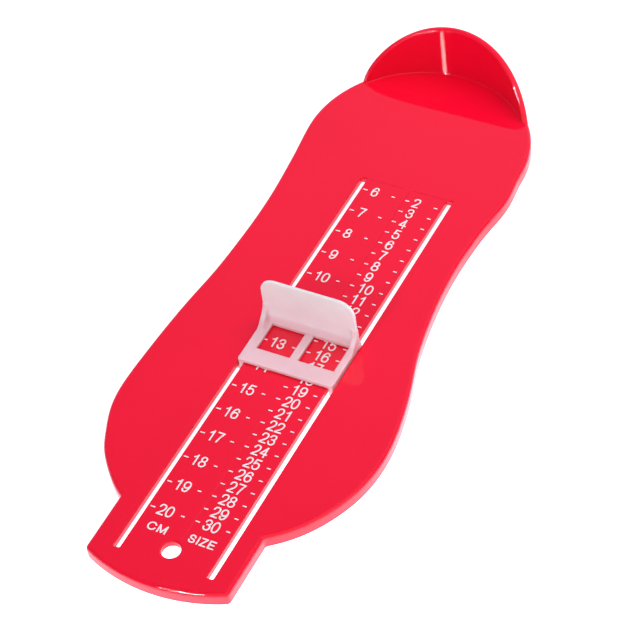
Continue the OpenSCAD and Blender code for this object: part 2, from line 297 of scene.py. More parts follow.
# ---------------------------------------------------------------- outline
LEFT = [(-44.6, 35), (-43.9, 44), (-42.9, 52), (-42.1, 60), (-41.4, 68),
        (-41.0, 76), (-40.9, 86), (-41.2, 97), (-42.0, 110), (-43.4, 122),
        (-44.5, 134), (-45.3, 148), (-45.6, 157), (-45.2, 166), (-43.6, 173),
        (-41.2, 179), (-37.7, 186), (-34.1, 190.6), (-30.3, 194.6), (-25.8, 198.4),
        (-23.9, 199.7)]
RIGHT = [(31.4, 35), (32.1, 44), (32.0, 51), (30.7, 60), (29.8, 70), (29.5, 79),
         (29.8, 89), (30.6, 98), (32.0, 108), (34.2, 119), (37.7, 131),
         (40.7, 144), (42.1, 155), (41.9, 164), (40.4, 172), (38.0, 178.6),
         (34.8, 184.8), (30.8, 190.4), (26.3, 195.0), (22.9, 197.7)]
HEEL_C, HEEL_R = (-6.6, 35.0), 38.0
BOW_R, BOW_TOP = 55.0, 225.0


def spline(pts, step, d0=None):
    """Smooth curve through the points, evenly stepped; d0 sets its first direction."""
    P = np.array(pts, float)
    m = len(P)
    h = np.linalg.norm(np.diff(P, axis=0), axis=1)
    t = np.r_[0, np.cumsum(h)]
    A, B = np.zeros((m, m)), np.zeros((m, 2))
    for i in range(1, m - 1):
        A[i, i - 1], A[i, i], A[i, i + 1] = h[i - 1], 2 * (h[i - 1] + h[i]), h[i]
        B[i] = 6 * ((P[i + 1] - P[i]) / h[i] - (P[i] - P[i - 1]) / h[i - 1])
    if d0 is None:
        A[0, 0] = 1
    else:
        A[0, 0], A[0, 1] = 2 * h[0], h[0]
        B[0] = 6 * ((P[1] - P[0]) / h[0] - np.array(d0))
    A[-1, -1] = 1
    M = np.linalg.solve(A, B)
    n = int(round(t[-1] / step))
    out = []
    for x in np.linspace(0, t[-1], n + 1):
        i = min(int(np.searchsorted(t, x, side="right")) - 1, m - 2)
        a, b = (t[i + 1] - x) / h[i], (x - t[i]) / h[i]
        out.append(a * P[i] + b * P[i + 1]
                   + ((a ** 3 - a) * M[i] + (b ** 3 - b) * M[i + 1]) * h[i] ** 2 / 6)
    return np.array(out)


def bow(u):
    return BOW_TOP - BOW_R + math.sqrt(BOW_R ** 2 - (u + 1) ** 2)


class Outline:
    """The sole shape's edge as points, inward normals and the tight corners."""

    def __init__(self):
        self.p, self.corner = [], []
        step = 1.3
        left = spline(LEFT, step, (0, 1))
        right = spline(RIGHT, step, (0, 1))
        uL, uR = -23.9, 22.9
        arc_l = [np.array((HEEL_C[0] - HEEL_R * math.sin(a), HEEL_C[1] - HEEL_R * math.cos(a)))
                 for a in self.heel_angles()]
        self.phi = []
        path = list(arc_l)
        self.phi += [-a for a in self.heel_angles()]
        self.extend(path, left[1:-1])
        self.turn(path, left[-2], (uL, 199.7), (uL, 210), 1.5)
        self.extend(path, [(uL, s) for s in np.linspace(202.5, 216.3, 11)])
        bl = bow(uL)
        self.turn(path, (uL, 210), (uL, bl), (uL + 3, bow(uL + 3)), 1.7)
        self.extend(path, [(u, bow(u)) for u in np.linspace(uL + 3.4, uR - 3.0, 32)])
        br = bow(uR)
        self.turn(path, (uR - 3, bow(uR - 3)), (uR, br), (uR, 210), 1.6)
        self.extend(path, [(uR, s) for s in np.linspace(216.0, 200.3, 12)])
        self.turn(path, (uR, 210), (uR, 197.7), right[-2], 1.5)
        back = right[::-1]
        self.extend(path, back[2:-1])
        arc_r = [np.array((HEEL_C[0] + HEEL_R * math.sin(a), HEEL_C[1] - HEEL_R * math.cos(a)))
                 for a in self.heel_angles()[::-1][:-1]]
        self.extend(path, arc_r)
        n = len(path)
        self.phi = [None] * n
        for i, a in enumerate(self.heel_angles()):
            self.phi[i] = -a
        for k, a in enumerate(self.heel_angles()[::-1][:-1]):
            self.phi[n - len(arc_r) + k] = a
        self.xy = xy(path)
        e = np.roll(self.xy, -1, 0) - self.xy
        e /= np.linalg.norm(e, axis=1)[:, None]
        nrm = np.c_[-e[:, 1], e[:, 0]]
        v = nrm + np.roll(nrm, 1, 0)
        self.inward = v / np.linalg.norm(v, axis=1)[:, None]
        # exact normals on the arcs
        c = xy([HEEL_C])[0]
        for i, a in enumerate(self.phi):
            if a is not None:
                self.inward[i] = unit(c - self.xy[i])
        self.tight = {}
        for first, last, centre, r in self.corner:
            cc = xy([centre])[0]
            bis = unit(cc - self.xy[(first + last) // 2])
            t0 = unit(self.xy[first] - cc)
            half = math.acos(max(-1, min(1, float(np.dot(-t0, bis)))))
            for i in range(first, last + 1):
                self.inward[i] = unit(cc - self.xy[i])
                self.tight[i] = (cc, r, bis, half)

    @staticmethod
    def heel_angles():
        a = list(np.arange(0, 60.01, 0.75)) + list(np.arange(62, 90.01, 2.0))
        return [math.radians(x) for x in a]

    @staticmethod
    def extend(path, pts):
        path.extend(np.array(p, float) for p in pts)

    def turn(self, path, a, k, b, r):
        """A round of radius r at corner k between the directions from a and to b."""
        k = np.array(k, float)
        d0, d1 = unit(k - np.array(a, float)), unit(np.array(b, float) - k)
        cosv = float(np.dot(d0, d1))
        ang = math.acos(max(-1, min(1, cosv)))
        tl = r * math.tan(ang / 2)
        side = np.sign(d0[0] * d1[1] - d0[1] * d1[0])
        n0 = side * np.array((-d0[1], d0[0]))
        c = k - d0 * tl + n0 * r
        while len(path) and np.dot(k - path[-1], d0) < tl + 0.5:
            path.pop()
        first = len(path)
        m = 8
        start = k - d0 * tl - c
        for i in range(m + 1):
            t = side * ang * i / m
            path.append(c + np.array((start[0] * math.cos(t) - start[1] * math.sin(t),
                                      start[0] * math.sin(t) + start[1] * math.cos(t))))
        # places run clockwise in u, s, so an outer corner turns this way
        if side < 0:
            self.corner.append((first, len(path) - 1, tuple(c), r))

    def ring(self, d):
        d = np.broadcast_to(np.asarray(d, float), (len(self.xy),))
        out = self.xy + self.inward * d[:, None]
        for i, (c, r, bis, half) in self.tight.items():
            if d[i] >= r:
                out[i] = c + bis * (d[i] - r) / math.cos(half)
        return out


EDGE_R = 1.3
EDGE = Outline()
N_EDGE = len(EDGE.xy)
CUP_T, CUP_B, CUP_DROP, CUP_HALF = 2.0, 23.4, 4.0, 30.4
CUP_A = CUP_HALF / math.sqrt(1 - (CUP_DROP / CUP_B) ** 2)


def wall_height(phi):
    if phi is None:
        return 0.0
    x = HEEL_R * math.sin(phi)
    if abs(x) >= CUP_HALF or abs(phi) > math.radians(80):
        return 0.0
    return max(0.0, CUP_B * math.sqrt(1 - (x / CUP_A) ** 2) - CUP_DROP)


RISE = np.array([wall_height(a) for a in EDGE.phi])


def arc_steps(n):
    return [math.pi / 2 * i / n for i in range(n + 1)]


def lean(x):
    """How far the wall's inside has come in at depth x under its rim: its draft."""
    return 0.026 * x


def base_plate():
    b = Build()
    rings = []

    def ring(d, z):
        z = np.broadcast_to(np.asarray(z, float), (N_EDGE,))
        rings.append(np.c_[EDGE.ring(d), z])

    under = TOP - 1.6
    # from the underside, down the skirt's inside, round its foot and up
    ring(2.1, under)
    for a in arc_steps(4):
        ring(2.0 - 0.4 * math.sin(a), under - 0.4 + 0.4 * math.cos(a))
    ring(1.6, under - 0.5)
    ring(1.6, 0.34)
    for a in arc_steps(4):
        ring(1.6 - 0.25 * (1 - math.cos(a)), 0.25 - 0.25 * math.sin(a))
    ring(1.28, 0)
    ring(0.32, 0)
    for a in arc_steps(4):
        ring(0.25 - 0.25 * math.sin(a), 0.25 - 0.25 * math.cos(a))
    ring(0, 0.34)
    # outer side, rounded edge or wall, and the wall's rim and inside
    h = RISE
    blend = np.clip(h / 2.0, 0, 1)
    blend = blend * blend * (3 - 2 * blend)
    ro = EDGE_R - (EDGE_R - 0.8) * blend
    ri, rf = 0.75, 0.3
    thick = CUP_T + (EDGE_R + ri + 0.15 - CUP_T) * (1 - blend)
    ring(0, TOP - EDGE_R - 0.15)
    ring(0, TOP + h - ro - 0.1)
    for a in arc_steps(10):
        ring(ro * (1 - math.cos(a)), TOP + h - ro * (1 - math.sin(a)))
    ring(ro + (thick - ri - ro) * 0.3, TOP + h)
    cosp = np.clip(1 - h / (ri + rf), 0, 1)
    p = np.arccos(cosp)
    run = np.maximum(0, h - ri - rf)
    for i in range(7):
        a = p * i / 6
        ring(thick - ri + ri * np.sin(a), TOP + h - ri * (1 - np.cos(a)))
    ex, ez = thick - ri + ri * np.sin(p), TOP + h - ri * (1 - np.cos(p))
    for k in (0.03, 0.25, 0.5, 0.75, 0.97):
        ring(ex + lean(run * k), ez - run * k)
    foot = ex + lean(run)
    for i in range(7):
        a = p * (1 - i / 6)
        ring(foot + rf * (np.sin(p) - np.sin(a)),
             ez - run - rf * (np.cos(a) - np.cos(p)))
    inner = thick + lean(run) + rf + 0.08
    ring(inner, TOP)
    b.strips(rings)

    top_loops = [EDGE.ring(inner)]
    under_loops = [EDGE.ring(2.1)]

    # guide slots, with their rounded mouths and the ribs beneath
    for side in (-1, 1):
        cu, w, s0, s1 = side * 15.33 - 0.04, 1.03, 55.0, 216.4 - 0.1 * side
        prof = [(0.48, TOP)]
        prof += [(0.4 * (1 - math.sin(a)), TOP - 0.4 * (1 - math.cos(a))) for a in arc_steps(6)]
        prof += [(0, TOP - 0.5), (0, 2.45)]
        prof += [(0.12 * (1 - math.cos(a)), 2.42 - 0.12 * math.sin(a)) for a in arc_steps(3)]
        prof += [(0.2, 2.3), (1.8, 2.3)]
        prof += [(2.0 - 0.12 * (1 - math.sin(a)), 2.42 - 0.12 * math.cos(a)) for a in arc_steps(3)]
        prof += [(2.0, 2.82), (2.0, under), (2.08, under)]
        rr = [np.c_[slot_ring(cu, w, s0, s1, e), np.full(SLOT_N, z)] for e, z in prof]
        b.strips(rr)
        top_loops.append(rr[0][:, :2])
        under_loops.append(rr[-1][:, :2])

    # hanging hole
    hc = xy([(0, 211.6)])[0]
    prof = [(0.68, TOP)]
    prof += [(0.6 * (1 - math.sin(a)), TOP - 0.6 * (1 - math.cos(a))) for a in arc_steps(7)]
    prof += [(0, TOP - 0.7), (0, 2.45)]
    prof += [(0.12 * (1 - math.cos(a)), 2.42 - 0.12 * math.sin(a)) for a in arc_steps(3)]
    prof += [(0.2, 2.3), (1.8, 2.3)]
    prof += [(2.0 - 0.12 * (1 - math.sin(a)), 2.42 - 0.12 * math.cos(a)) for a in arc_steps(3)]
    prof += [(2.0, 2.82), (2.0, under), (2.08, under)]
    th = np.linspace(0, 2 * math.pi, 64, endpoint=False)
    rr = [np.c_[hc[0] + (2.9 + e) * np.cos(th), hc[1] + (2.9 + e) * np.sin(th),
                np.full(64, z)] for e, z in prof]
    b.strips(rr)
    top_loops.append(rr[0][:, :2])
    under_loops.append(rr[-1][:, :2])

    # faint witness lines left by the inserts that mould the figures
    for (u0, s0), (u1, s1) in WITNESS:
        w, dep = 0.08, 0.32
        rr = []
        for e, z in ((w + 0.05, TOP), (w, TOP), (0.0, TOP - dep)):
            rr.append(np.c_[line_ring(u0, s0, u1, s1, e), np.full(LINE_N, z)])
        b.strips(rr)
        top_loops.append(rr[0][:, :2])

    b.fill(top_loops, TOP, up=True)
    b.fill(under_loops, under, up=False)
    return b.object("plate_moulding", [RED], "plate", "base_plate")


SLOT_LONG, SLOT_CORNER = 60, 5
SLOT_N = 2 * (SLOT_LONG + 1) + 4 * (SLOT_CORNER - 1) + 2 * 3 - 4 + 4
WITNESS = [((1.3, 55.6), (1.3, 207.5)), ((-13.4, 55.1), (-1.5, 55.1)), ((1.75, 55.1), (13.6, 55.1))]
LINE_N = 4


def slot_ring(cu, w, s0, s1, e):
    """A rounded rectangle about a slot, e outside its edge."""
    r0 = 0.45
    r = r0 + e
    a = w - r0
    c0, c1 = s0 + r0, s1 - r0
    pts = []
    for k in range(SLOT_CORNER + 1):
        t = math.pi / 2 * k / SLOT_CORNER
        pts.append((cu + a + r * math.cos(t), c1 + r * math.sin(t)))
    for k in range(SLOT_CORNER + 1):
        t = math.pi / 2 * (1 + k / SLOT_CORNER)
        pts.append((cu - a + r * math.cos(t), c1 + r * math.sin(t)))
    for k in range(1, SLOT_LONG):
        pts.append((cu - a - r, c1 + (c0 - c1) * k / SLOT_LONG))
    for k in range(SLOT_CORNER + 1):
        t = math.pi * (1 + k / SLOT_CORNER / 2)
        pts.append((cu - a + r * math.cos(t), c0 + r * math.sin(t)))
    for k in range(SLOT_CORNER + 1):
        t = math.pi * (1.5 + k / SLOT_CORNER / 2)
        pts.append((cu + a + r * math.cos(t), c0 + r * math.sin(t)))
    for k in range(1, SLOT_LONG):
        pts.append((cu + a + r, c0 + (c1 - c0) * k / SLOT_LONG))
    return xy(pts)


SLOT_N = len(slot_ring(0, 1.3, 0, 100, 0))


def line_ring(u0, s0, u1, s1, e):
    """A thin rectangle about a line; at e = 0 it closes up on the line."""
    d = unit((u1 - u0, s1 - s0))
    n = np.array((-d[1], d[0]))
    p0, p1 = np.array((u0, s0)), np.array((u1, s1))
    x = 0.0 if e == 0 else e
    return xy([p0 - n * e - d * x, p1 - n * e + d * x, p1 + n * e + d * x, p0 + n * e - d * x])


# ---------------------------------------------------------------- figures
STROKE = 0.52
DIGIT_A, DIGIT_B = (2.45 - STROKE) / 2, (4.1 - STROKE) / 2


def curve(p0, p1, p2, p3, n=10):
    t = np.linspace(0, 1, n + 1)[:, None]
    p0, p1, p2, p3 = map(np.array, (p0, p1, p2, p3))
    return (1 - t) ** 3 * p0 + 3 * (1 - t) ** 2 * t * p1 + 3 * (1 - t) * t ** 2 * p2 + t ** 3 * p3


def path(*parts):
    """Points along a pen path: a point is a line to it, three points a curve."""
    out = [np.array(parts[0], float)]
    for q in parts[1:]:
        if isinstance(q[0], tuple):
            out.extend(curve(out[-1], *q)[1:])
        else:
            out.append(np.array(q, float))
    return np.array(out)


def oval(cx, cy, rx, ry, n=40):
    t = np.linspace(0, 2 * math.pi, n + 1)
    return np.c_[cx + rx * np.cos(t), cy + ry * np.sin(t)]


SIX = path((0.88, 0.53), ((0.80, 0.84), (0.48, 1.0), (0.10, 1.0)),
           ((-0.60, 1.0), (-0.99, 0.45), (-0.99, -0.12)),
           ((-0.99, -0.70), (-0.62, -1.0), (0.02, -1.0)),
           ((0.60, -1.0), (0.99, -0.78), (0.99, -0.37)),
           ((0.99, 0.02), (0.62, 0.24), (0.06, 0.24)),
           ((-0.46, 0.24), (-0.88, 0.02), (-0.97, -0.34)))
GLYPHS = {
    "0": [path((0, 1), ((0.66, 1), (1, 0.60), (1, 0)), ((1, -0.60), (0.66, -1), (0, -1)),
               ((-0.66, -1), (-1, -0.60), (-1, 0)), ((-1, 0.60), (-0.66, 1), (0, 1)))],
    "1": [path((0.30, 1.4), (0.30, -1.4)),
          path((0.30, 0.98), ((0.12, 0.78), (-0.18, 0.62), (-0.60, 0.52)))],
    "2": [path((-0.92, 0.46), ((-0.88, 0.80), (-0.52, 1), (0.02, 1)),
               ((0.58, 1), (0.94, 0.80), (0.94, 0.46)),
               ((0.94, 0.14), (0.62, -0.12), (0.16, -0.38)),
               ((-0.36, -0.66), (-0.80, -0.82), (-0.93, -1.0)), (1.02, -1.0))],
    "3": [path((-0.90, 0.52), ((-0.80, 0.84), (-0.46, 1), (-0.02, 1)),
               ((0.50, 1), (0.84, 0.82), (0.84, 0.54)),
               ((0.84, 0.24), (0.50, 0.06), (0.02, 0.06)), (-0.26, 0.06)),
          path((0.0, 0.06), ((0.60, 0.06), (0.99, -0.12), (0.99, -0.47)),
               ((0.99, -0.80), (0.58, -1), (0.0, -1)),
               ((-0.50, -1), (-0.88, -0.82), (-0.97, -0.44)))],
    "4": [path((0.44, 1.4), (0.44, -1.4)),
          path((0.44, 1.0), (-1.0, -0.40), (1.32, -0.40))],
    "5": [path((0.88, 1), (-0.62, 1), (-0.86, 0.06),
               ((-0.66, 0.22), (-0.38, 0.31), (-0.02, 0.31)),
               ((0.60, 0.31), (0.99, 0.04), (0.99, -0.34)),
               ((0.99, -0.74), (0.60, -1), (0.0, -1)),
               ((-0.50, -1), (-0.90, -0.82), (-0.98, -0.47)))],
    "6": [SIX],
    "7": [path((-1.0, 1), (0.98, 1), ((0.52, 0.55), (-0.12, -0.40), (-0.28, -1.4)))],
    "8": [oval(0, 0.53, 0.83, 0.47), oval(0, -0.47, 1.0, 0.53)],
    "9": [-SIX],
    "C": [path((0.92, 0.52), ((0.74, 0.86), (0.42, 1), (0.04, 1)),
               ((-0.62, 1), (-1, 0.56), (-1, 0)), ((-1, -0.56), (-0.62, -1), (0.04, -1)),
               ((0.44, -1), (0.80, -0.84), (0.96, -0.42)))],
    "M": [path((-1, -1.4), (-1, 1.0), (0, -0.95), (1, 1.0), (1, -1.4))],
    "S": [path((0.86, 0.52), ((0.78, 0.86), (0.42, 1), (0.0, 1)),
               ((-0.50, 1), (-0.86, 0.80), (-0.86, 0.50)),
               ((-0.86, 0.16), (-0.44, 0.08), (0.04, 0.0)),
               ((0.56, -0.10), (0.96, -0.18), (0.96, -0.52)),
               ((0.96, -0.84), (0.54, -1), (0.02, -1)),
               ((-0.50, -1), (-0.88, -0.82), (-0.96, -0.46)))],
    "I": [path((0, 1.4), (0, -1.4))],
    "Z": [path((-0.95, 1), (0.95, 1), (-0.97, -1), (1.0, -1))],
    "E": [path((0.98, 1), (-0.90, 1), (-0.90, -1), (1.02, -1)), path((-0.9, 0.02), (0.82, 0.02))],
}


def loops_at(F, xs, ys, level):
    """Closed contours of the grid F at a level."""
    segs = {}
    V = F - level
    V = np.where(V == 0, 1e-9, V)
    nx, ny = V.shape

    def cut(i0, j0, i1, j1):
        a, b = V[i0, j0], V[i1, j1]
        t = a / (a - b)
        return (xs[i0] + (xs[i1] - xs[i0]) * t, ys[j0] + (ys[j1] - ys[j0]) * t)

    neg = V < 0
    mixed = np.argwhere(~((neg[:-1, :-1] == neg[1:, :-1]) & (neg[:-1, :-1] == neg[:-1, 1:])
                          & (neg[:-1, :-1] == neg[1:, 1:])))
    pts = {}
    for i, j in mixed:
        e = []
        c = [(i, j), (i + 1, j), (i + 1, j + 1), (i, j + 1)]
        for k in range(4):
            p, q = c[k], c[(k + 1) % 4]
            if neg[p] != neg[q]:
                key = (min(p, q), max(p, q))
                if key not in pts:
                    pts[key] = cut(*key[0], *key[1])
                e.append((key, neg[p]))
        if len(e) == 2:
            pairs = [(e[0], e[1])]
        else:
            mid = V[i, j] + V[i + 1, j] + V[i, j + 1] + V[i + 1, j + 1] < 0
            pairs = ([(e[0], e[1]), (e[2], e[3])] if mid == bool(e[0][1])
                     else [(e[1], e[2]), (e[3], e[0])])
        for (ka, na), (kb, nb) in pairs:
            segs.setdefault(ka, []).append(kb)
            segs.setdefault(kb, []).append(ka)
    loops, left = [], set(segs)
    while left:
        start = min(left)
        lp, prev, cur = [], None, start
        while True:
            lp.append(pts[cur])
            left.discard(cur)
            nxt = [k for k in segs[cur] if k != prev]
            prev, cur = cur, nxt[0]
            if cur == start or cur not in left:
                break
        if len(lp) > 5:
            loops.append(np.array(lp))
    return loops


def thin(lp, tol):
    """The loop with the points that a straight line already covers left out."""
    def keep(a, b):
        if b - a < 2:
            return []
        p, q = lp[a], lp[b % len(lp)]
        d = q - p
        L = np.linalg.norm(d)
        seg = lp[a + 1:b]
        if L < 1e-9:
            dist = np.linalg.norm(seg - p, axis=1)
        else:
            dist = np.abs(np.cross(d / L, seg - p))
        k = int(np.argmax(dist))
        if dist[k] < tol:
            return []
        m = a + 1 + k
        return keep(a, m) + [m] + keep(m, b)
    n = len(lp)
    far = int(np.argmax(np.linalg.norm(lp - lp[0], axis=1)))
    idx = [0] + keep(0, far) + [far] + keep(far, n)
    return lp[idx]


GLYPH_CACHE = {}
RAISE, SOFT = 0.26, 0.07


def glyph(ch, a, b):
    """Outline loops of a figure at its edge and at its flat top."""
    key = (ch, round(a, 3), round(b, 3))
    if key in GLYPH_CACHE:
        return GLYPH_CACHE[key]
    g = 0.05
    xs = np.arange(-a - 0.5, a + 0.5 + g, g)
    ys = np.arange(-b - 0.5, b + 0.5 + g, g)
    X, Y = np.meshgrid(xs, ys, indexing="ij")
    D = np.full(X.shape, 9.0)
    for stroke in GLYPHS[ch]:
        s = stroke * (a, b)
        for p, q in zip(s[:-1], s[1:]):
            d = q - p
            L2 = float(d @ d)
            if L2 < 1e-12:
                continue
            t = np.clip(((X - p[0]) * d[0] + (Y - p[1]) * d[1]) / L2, 0, 1)
            D = np.minimum(D, np.hypot(X - p[0] - t * d[0], Y - p[1] - t * d[1]))
    D = D - STROKE / 2
    D = np.maximum(D, np.abs(Y) - b - STROKE / 2)
    D = np.maximum(D, np.abs(X) - a - STROKE / 2 - 0.02)
    out = [[thin(lp, 0.005) for lp in loops_at(D, xs, ys, lv)] for lv in (0.0, -0.022, -SOFT)]
    GLYPH_CACHE[key] = out
    return out


def stamp(b, loops, x, y):
    """A raised figure: side walls in the plate's plastic, foil on its top."""
    outer, mid, inner = [[lp + (x, y) for lp in group] for group in loops]
    z0, z1, z2, z3 = TOP - 0.03, TOP + RAISE - SOFT, TOP + RAISE - 0.02, TOP + RAISE
    for lp in outer:
        b.strips([np.c_[lp, np.full(len(lp), z0)], np.c_[lp, np.full(len(lp), z1)]], mat=1)
    zs = np.concatenate([np.full(len(lp), z1) for lp in outer] + [np.full(len(lp), z2) for lp in mid])
    b.fill(outer + mid, z1, mat=0, up=True, zs=zs)
    zs = np.concatenate([np.full(len(lp), z2) for lp in mid] + [np.full(len(lp), z3) for lp in inner])
    b.fill(mid + inner, z2, mat=0, up=True, zs=zs)
    b.fill(inner, z3, mat=0, up=True)
    b.fill(outer, z0, mat=1, up=False)


def bar_loops(l, w):
    """Loops of a tick mark: a rounded bar."""
    out = []
    for e in (0.0, -0.022, -SOFT):
        r = max(0.02, 0.12 + e)
        hx, hy = l / 2 + e - r, w / 2 + e - r
        lp = []
        for k, (sx, sy) in enumerate(((1, 1), (-1, 1), (-1, -1), (1, -1))):
            for j in range(4):
                t = math.pi / 2 * (k + j / 3)
                lp.append((sx * hx + r * math.cos(t), sy * hy + r * math.sin(t)))
        out.append([np.array(lp)])
    return out


def numerals(name, node, numbers, s_of, u_one, u_last):
    b = Build()
    for n in numbers:
        x, y = xy([(u_last if n > 9 else u_one, s_of(n))])[0]
        stamp(b, glyph(str(n % 10), DIGIT_A, DIGIT_B), x, y)
        if n > 9:
            stamp(b, glyph(str(n // 10), DIGIT_A, DIGIT_B), x - 2.65, y)
    return b.object(name, [FOIL, RED], "plate", node)


def ticks(name, node, numbers, s_of, columns):
    b = Build()
    for n in numbers:
        for u, l in columns:
            x, y = xy([(u, s_of(n))])[0]
            stamp(b, bar_loops(l, 0.45), x, y)
    return b.object(name, [FOIL, RED], "plate", node)


def labels():
    b = Build()
    hb = (3.0 - STROKE) / 2
    for ch, u, s, a in (("C", -9.2, 206.3, 1.19), ("M", -5.72, 206.3, 1.2),
                        ("S", 4.0, 206.0, 0.86), ("I", 5.95, 206.0, 0.1),
                        ("Z", 7.75, 206.0, 0.86), ("E", 10.35, 206.0, 0.86)):
        x, y = xy([(u, s)])[0]
        stamp(b, glyph(ch, a, hb), x, y)
    return b.object("unit_names", [FOIL, RED], "plate", "unit_labels")


# ---------------------------------------------------------------- slider
def smin(a, b, k):
    h = np.clip(0.5 + 0.5 * (b - a) / k, 0, 1)
    return b + (a - b) * h - k * h * (1 - h)


def round_union(a, b, r):
    """Union whose inner corner is a hollow round of radius r."""
    ua, ub = np.maximum(r - a, 0), np.maximum(r - b, 0)
    return np.maximum(r, np.minimum(a, b)) - np.sqrt(ua * ua + ub * ub)


def box_sdf(P, lo, hi, r):
    c, h = [(a + b) / 2 for a, b in zip(lo, hi)], [(b - a) / 2 - r for a, b in zip(lo, hi)]
    q = [np.abs(p - m) - e for p, m, e in zip(P, c, h)]
    o = np.sqrt(sum(np.maximum(v, 0) ** 2 for v in q))
    return o + np.minimum(np.maximum.reduce(q), 0) - r


def round_join(a, b, r):
    """Intersection whose outer corner is a round of radius r."""
    ua, ub = np.maximum(r + a, 0), np.maximum(r + b, 0)
    return np.minimum(-r, np.maximum(a, b)) + np.sqrt(ua * ua + ub * ub)


def slider_field(U, S, Z):
    P = (U, S, Z)
    # frame, its plan corners rounded
    q = [np.abs(U) - (16.2 - 0.8), np.abs(S - 131.4) - (9.6 - 0.8)]
    plan = np.hypot(np.maximum(q[0], 0), np.maximum(q[1], 0)) + np.minimum(np.maximum(*q), 0) - 0.8
    body = round_join(round_join(plan, Z - 1.5, 0.28), 0.3 - Z, 0.08)
    # upright stop: tapered, with round upper corners
    hw = 16.2 - 0.3 * np.clip((Z - 1.5) / 17.2, 0, 1)
    q = [np.abs(U) - (hw - 5.0), Z - (18.7 - 5.0)]
    front = np.hypot(np.maximum(q[0], 0), np.maximum(q[1], 0)) + np.minimum(np.maximum(*q), 0) - 5.0
    front = np.maximum(front, 0.5 - Z)
    plate = np.abs(S - 122.3) - 0.5
    stop = round_join(front, plate, 0.32)
    body = round_union(body, stop, 1.9)
    # gussets: side webs with a hollow front edge
    t = np.clip((Z - 1.5) / 5.9, 0, 1)
    reach = 122.8 + 5.0 * (1 - t) ** 1.45
    edge = (S - reach) * 0.72
    web = np.abs(np.abs(U) - 15.45) - 0.75
    g = round_join(np.maximum(edge, np.maximum(Z - 7.6, 121.9 - S)), web, 0.25)
    g = np.maximum(g, 0.5 - Z)
    body = smin(body, g, np.interp(np.abs(U), (14.9, 15.9), (1.5, 0.4)))
    # reading windows
    for u0, u1 in ((-12.75, -1.2), (1.5, 13.9)):
        w = box_sdf(P, (u0, 124.1, -3), (u1, 135.1, 5), 0.22)
        body = round_join(body, -w, 0.16)
    # keep the frame's foot flat above the plate
    body = np.maximum(body, 0.3 - Z)
    # legs through the slots, and their hooks
    for k in (-1, 1):
        a, c = sorted((k * 14.6, k * 16.1))
        leg = box_sdf(P, (a, 122.0, -3.7), (c, 140.8, 1.2), 0.2)
        body = smin(body, leg, 0.15)
        a, c = sorted((k * 14.6, k * 18.0))
        hook = box_sdf(P, (a, 122.0, -3.7), (c, 140.8, -2.5), 0.3)
        body = smin(body, hook, 0.3)
    return body


def surface_nets(field, lo, hi, g):
    """A closed mesh of field = 0, one point for each cell that it crosses."""
    ax = [np.arange(a, b + g, g, dtype=np.float32) for a, b in zip(lo, hi)]
    U, S, Z = np.meshgrid(*ax, indexing="ij")
    F = field(U, S, Z).astype(np.float32)
    neg = F < 0
    n = [len(a) for a in ax]
    cells = np.zeros([k - 1 for k in n], np.int8)
    for i in (0, 1):
        for j in (0, 1):
            for k in (0, 1):
                cells += neg[i:n[0] - 1 + i, j:n[1] - 1 + j, k:n[2] - 1 + k]
    act = np.argwhere((cells > 0) & (cells < 8))
    index = np.full(cells.shape, -1, np.int32)
    index[tuple(act.T)] = np.arange(len(act))
    acc, cnt = np.zeros((len(act), 3)), np.zeros(len(act))
    corner = [(i, j, k) for i in (0, 1) for j in (0, 1) for k in (0, 1)]
    for p in corner:
        for axis in range(3):
            if p[axis]:
                continue
            q = list(p)
            q[axis] = 1
            a = F[tuple((act + p).T)]
            b = F[tuple((act + q).T)]
            m = (a < 0) != (b < 0)
            t = np.where(m, a / np.where(m, a - b, 1), 0)
            pos = np.tile(np.array(p, float), (len(act), 1))
            pos[:, axis] = t
            acc[m] += pos[m]
            cnt[m] += 1
    V = (act + acc / cnt[:, None]) * g + np.array(lo)
    faces = []
    for axis in range(3):
        o = [a for a in range(3) if a != axis]
        sl0 = [slice(1, n[a] - 1) for a in range(3)]
        sl0[axis] = slice(0, n[axis] - 1)
        sl1 = list(sl0)
        sl1[axis] = slice(1, n[axis])
        a, b = neg[tuple(sl0)], neg[tuple(sl1)]
        hit = np.argwhere(a != b)
        base = hit.copy()
        for d in o:
            base[:, d] += 1
        first = a[tuple(hit.T)]
        quad = []
        for du, dv in ((-1, -1), (0, -1), (0, 0), (-1, 0)):
            c = base.copy()
            c[:, o[0]] += du
            c[:, o[1]] += dv
            quad.append(index[tuple(c.T)])
        quad = np.array(quad).T
        turn = first if axis != 1 else ~first
        quad[~turn] = quad[~turn][:, ::-1]
        faces.append(quad)
    # pull the points onto the surface along the field's gradient
    for _ in range(3):
        e = 0.02
        f0 = field(V[:, 0], V[:, 1], V[:, 2])
        G = np.array([(field(*(V + d).T) - field(*(V - d).T)) / (2 * e)
                      for d in np.eye(3) * e]).T
        L = np.maximum(np.linalg.norm(G, axis=1), 0.3)
        V = V - G * (np.clip(f0, -g, g) / L ** 2)[:, None] * 0.8
    G /= np.maximum(np.linalg.norm(G, axis=1), 1e-9)[:, None]
    return V, np.concatenate(faces), G


